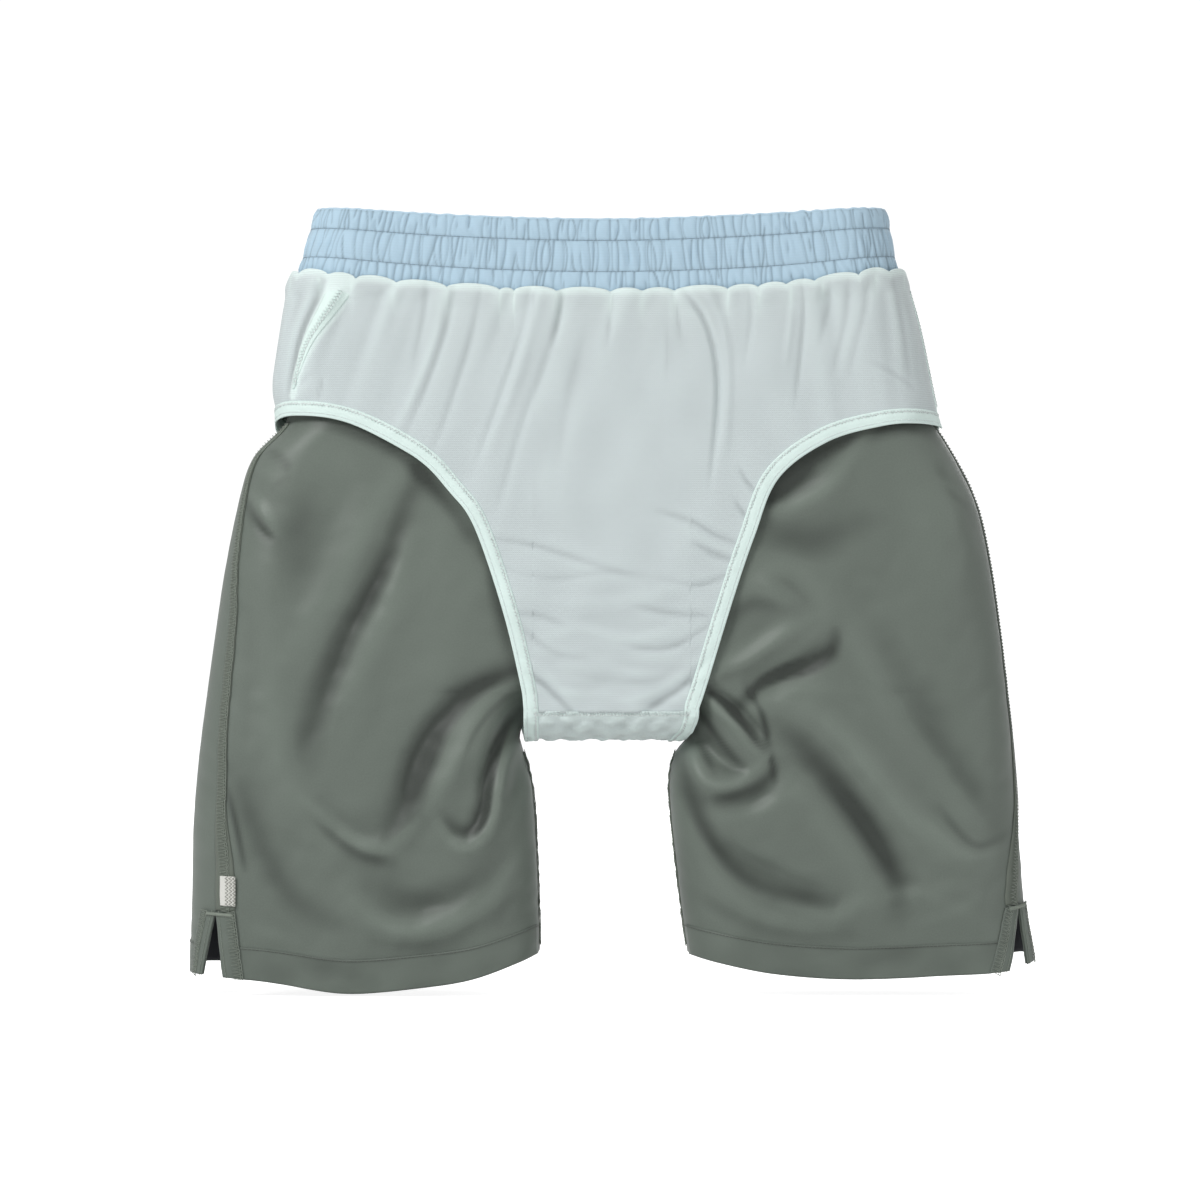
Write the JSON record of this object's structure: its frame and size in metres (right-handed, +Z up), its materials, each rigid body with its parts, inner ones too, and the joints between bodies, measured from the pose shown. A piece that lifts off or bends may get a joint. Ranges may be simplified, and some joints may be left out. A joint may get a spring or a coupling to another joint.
{
  "type": "lined swim shorts",
  "caption": "Lined swim shorts turned inside out, with gathered elastic waistband, mesh brief liner, satin shell legs and side slits.",
  "frame": {"origin": "centre of the waist opening, at mid height of the waistband, on the centre front line", "axes": "+Z up to the waist, -Y towards the front, +X towards the side without the label"},
  "size_m": [0.54, 0.0832, 0.4984],
  "materials": {
    "band_poplin": "soft matt woven poplin, light blue, gathered",
    "elastic": "matt ribbed woven elastic",
    "liner_mesh": "matt fine tricot mesh, white, slightly sheer",
    "binding_knit": "matt bright white knit tape",
    "shell_satin": "soft satin sheen, grey green polyester, wrong side",
    "hem_satin": "soft satin sheen, grey green polyester, turned hem",
    "overlock_seam": "matt overlock thread over cloth, grey green",
    "label_tape": "matt woven tape, off white with khaki stitching"
  },
  "bodies": {
    "root": {"leg_binding_left": "binding_knit", "leg_binding_right": "binding_knit", "liner_gusset": "liner_mesh", "liner_panel_back": "liner_mesh", "liner_panel_front": "liner_mesh", "liner_side_seam_left": "binding_knit", "liner_side_seam_right": "binding_knit", "rise_seam_back": "overlock_seam", "rise_seam_front": "overlock_seam", "shell_back_left_upper": "shell_satin", "shell_back_right_upper": "shell_satin", "shell_front_left_upper": "shell_satin", "shell_front_right_upper": "shell_satin", "side_seam_left_upper": "overlock_seam", "side_seam_right_upper": "overlock_seam", "waist_elastic": "elastic", "waistband_casing": "band_poplin"},
    "leg_left": {"bar_tack_left": "overlock_seam", "hem_back_left": "hem_satin", "hem_front_left": "hem_satin", "inseam_left": "overlock_seam", "shell_back_left_fold": "shell_satin", "shell_back_left_lower": "shell_satin", "shell_front_left_fold": "shell_satin", "shell_front_left_lower": "shell_satin", "side_seam_left_fold": "overlock_seam", "side_seam_left_lower": "overlock_seam", "vent_facing_back_left": "overlock_seam", "vent_facing_front_left": "overlock_seam", "woven_label": "label_tape"},
    "leg_right": {"bar_tack_right": "overlock_seam", "hem_back_right": "hem_satin", "hem_front_right": "hem_satin", "inseam_right": "overlock_seam", "shell_back_right_fold": "shell_satin", "shell_back_right_lower": "shell_satin", "shell_front_right_fold": "shell_satin", "shell_front_right_lower": "shell_satin", "side_seam_right_fold": "overlock_seam", "side_seam_right_lower": "overlock_seam", "vent_facing_back_right": "overlock_seam", "vent_facing_front_right": "overlock_seam"}
  },
  "joints": [
    {"name": "leg_swing_left", "type": "hinge", "parent": "root", "child": "leg_left", "pos_m": [-0.15, 0, -0.31], "axis": [-1, 0, 0], "range_deg": [-20, 45], "deforming": ["shell_back_left_fold", "shell_front_left_fold", "side_seam_left_fold"]},
    {"name": "leg_swing_right", "type": "hinge", "parent": "root", "child": "leg_right", "pos_m": [0.15, 0, -0.31], "axis": [-1, 0, 0], "range_deg": [-20, 45], "deforming": ["shell_back_right_fold", "shell_front_right_fold", "side_seam_right_fold"]}
  ]
}
